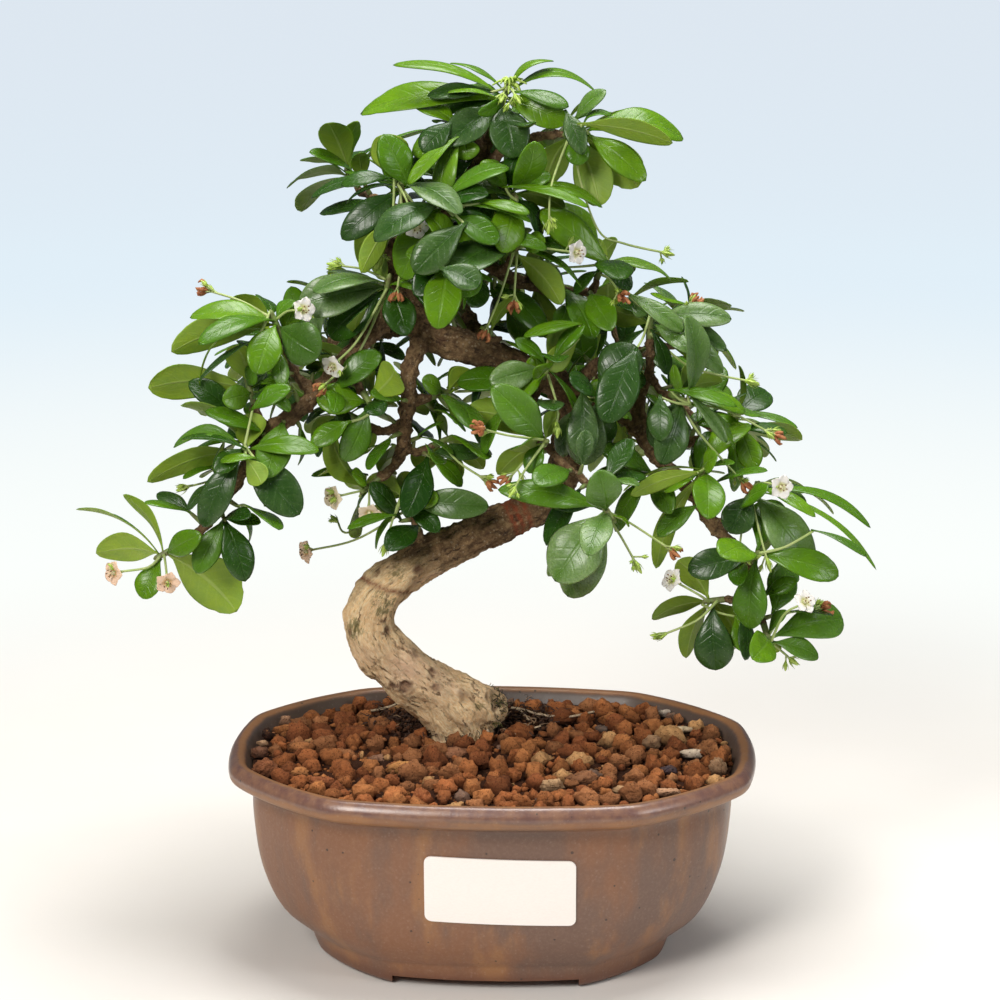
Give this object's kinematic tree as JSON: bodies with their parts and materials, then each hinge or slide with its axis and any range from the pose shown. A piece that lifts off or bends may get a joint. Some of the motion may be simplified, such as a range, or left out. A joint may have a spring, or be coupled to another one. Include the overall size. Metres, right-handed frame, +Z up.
{
  "type": "fukien tea bonsai",
  "caption": "S-curved indoor flowering bonsai with glossy obovate leaves and small white flowers, standing in a low brown-glazed footed pot of red clay granules.",
  "frame": {"origin": "middle of the whole object's box, at the level that the pot's feet stand on", "axes": "+Z up, -Y out of the labelled front, +X to the right of someone who faces that front"},
  "size_m": [0.2911, 0.1855, 0.3299],
  "materials": {
    "pot_glaze": "satin",
    "baked_clay": "matte",
    "drain_plastic": "matte",
    "card": "satin",
    "bark": "matte",
    "foliage": "satin",
    "petals": "matte"
  },
  "bodies": {
    "root": {"drain_mesh_left": "drain_plastic", "drain_mesh_right": "drain_plastic", "flower_01": "petals", "flower_02": "petals", "flower_03": "petals", "flower_04": "petals", "flower_05": "petals", "flower_06": "petals", "flower_07": "petals", "flower_08": "petals", "flower_09": "petals", "flower_10": "petals", "flower_11": "petals", "flower_12": "petals", "label": "card", "pot": "pot_glaze", "shoot_apex": "foliage", "shoot_apex_left": "foliage", "shoot_apex_right": "foliage", "shoot_behind_edge": "foliage", "shoot_behind_far": "foliage", "shoot_behind_near": "foliage", "shoot_behind_out": "foliage", "shoot_behind_side": "foliage", "shoot_behind_top": "foliage", "shoot_behind_up": "foliage", "shoot_crown_back": "foliage", "shoot_crown_front": "foliage", "shoot_crown_inner": "foliage", "shoot_crown_side": "foliage", "shoot_crown_spur": "foliage", "shoot_front_high": "foliage", "shoot_front_low": "foliage", "shoot_front_mid": "foliage", "shoot_heart": "foliage", "shoot_heart_left": "foliage", "shoot_left_end": "foliage", "shoot_left_inner": "foliage", "shoot_left_low": "foliage", "shoot_left_mid": "foliage", "shoot_left_top": "foliage", "shoot_left_under": "foliage", "shoot_middle_inner": "foliage", "shoot_middle_left": "foliage", "shoot_middle_low": "foliage", "shoot_middle_right": "foliage", "shoot_right_back": "foliage", "shoot_right_drop": "foliage", "shoot_right_end": "foliage", "shoot_right_fall": "foliage", "shoot_right_high": "foliage", "shoot_right_inner": "foliage", "shoot_right_low": "foliage", "shoot_right_mid": "foliage", "shoot_right_outer": "foliage", "shoot_right_top": "foliage", "shoot_trunk_spur": "foliage", "soil": "baked_clay", "wood": "bark"}
  },
  "joints": []
}
